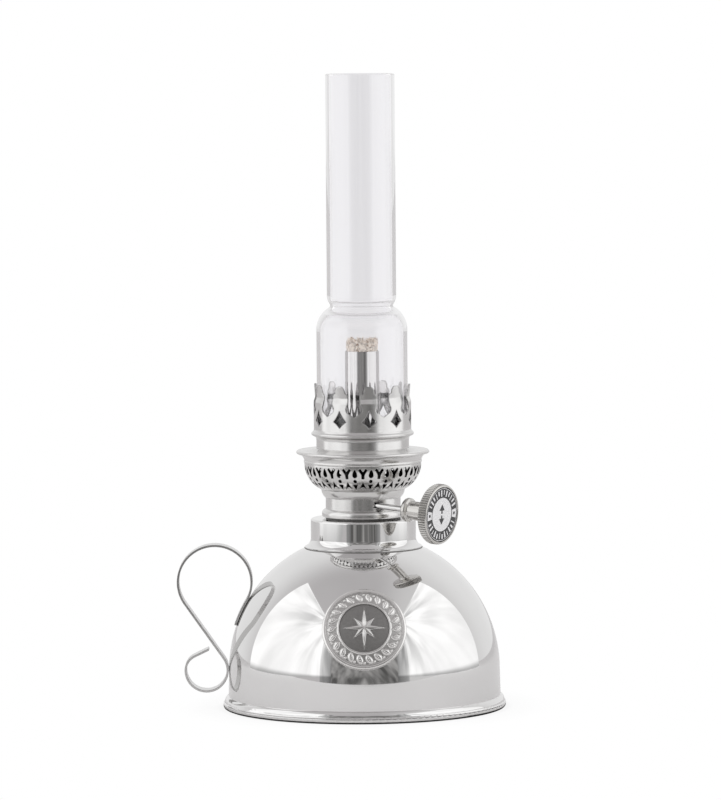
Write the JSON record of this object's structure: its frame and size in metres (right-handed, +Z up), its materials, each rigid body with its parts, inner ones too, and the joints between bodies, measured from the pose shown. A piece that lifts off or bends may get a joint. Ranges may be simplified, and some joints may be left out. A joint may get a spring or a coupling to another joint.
{
  "type": "kerosene table lamp",
  "caption": "Small domed kerosene table lamp with a curled strip handle, a pierced round-wick burner with winder knob, and a tall clear glass chimney.",
  "frame": {"origin": "centre of the rolled edge that the lamp stands on, in the table plane", "axes": "+Z up the lamp's axis, -Y towards the badge on the front, -X towards the handle"},
  "size_m": [0.1249, 0.1076, 0.2409],
  "materials": {
    "polished_nickel": "mirror-polished nickel plate on spun brass",
    "nickel_strip": "polished nickel-plated flat strip",
    "badge_nickel": "struck relief badge, polished high spots on a duller ground",
    "satin_nickel": "satin nickel plate with turning marks",
    "tube_nickel": "bright drawn tube, nickel plated",
    "knob_nickel": "dull nickel plate with a knurled rim",
    "wheel_brass": "stamped brass, unplated",
    "enamel": "white enamel face with a black ring",
    "seal_rubber": "black nitrile ring",
    "cotton": "undyed woven cotton wick, frayed at the top",
    "clear_glass": "clear blown lamp glass"
  },
  "bodies": {
    "font": {"font_dome": "polished_nickel", "base_plate": "polished_nickel", "collar": "polished_nickel", "handle_strip": "nickel_strip", "badge": "badge_nickel"},
    "seal": {"seal_ring": "seal_rubber"},
    "burner": {"burner_neck": "satin_nickel", "burner_deck": "satin_nickel", "air_basket": "satin_nickel", "gallery_dish": "satin_nickel", "gallery_crown": "satin_nickel", "chimney_seat": "satin_nickel", "wick_tube": "tube_nickel", "draught_tube": "tube_nickel", "spindle_bush": "tube_nickel", "spindle_end_bush": "tube_nickel"},
    "winder": {"spindle": "tube_nickel", "wick_wheel_inner": "wheel_brass", "wick_wheel_outer": "wheel_brass", "knob": "knob_nickel", "knob_enamel": "enamel"},
    "wick": {"wick": "cotton"},
    "chimney": {"chimney": "clear_glass"}
  },
  "joints": [
    {"name": "seal_lift", "type": "slide", "parent": "font", "child": "seal", "axis": [0, 0, 1], "range_m": [0, 0.0071]},
    {"name": "burner_turn", "type": "hinge", "parent": "seal", "child": "burner", "pos_m": [0, 0, 0.0727], "axis": [0, 0, 1], "range_deg": [0, 1800]},
    {"name": "knob_turn", "type": "hinge", "parent": "burner", "child": "winder", "pos_m": [-0.00413, -0.0059, 0.0788], "axis": [0.8172, -0.5722, -0.0698], "range_deg": [-210, 105]},
    {"name": "wick_slide", "type": "slide", "parent": "burner", "child": "wick", "axis": [0, 0, 1], "range_m": [-0.0082, 0.0042]},
    {"name": "chimney_lift", "type": "slide", "parent": "burner", "child": "chimney", "axis": [0, 0, 1], "range_m": [0, 0.05]}
  ],
  "couplings": [
    {"joint": "seal_lift", "follows": "burner_turn", "m_per_rad": 0.00022282},
    {"joint": "wick_slide", "follows": "knob_turn", "m_per_rad": 0.0022}
  ]
}
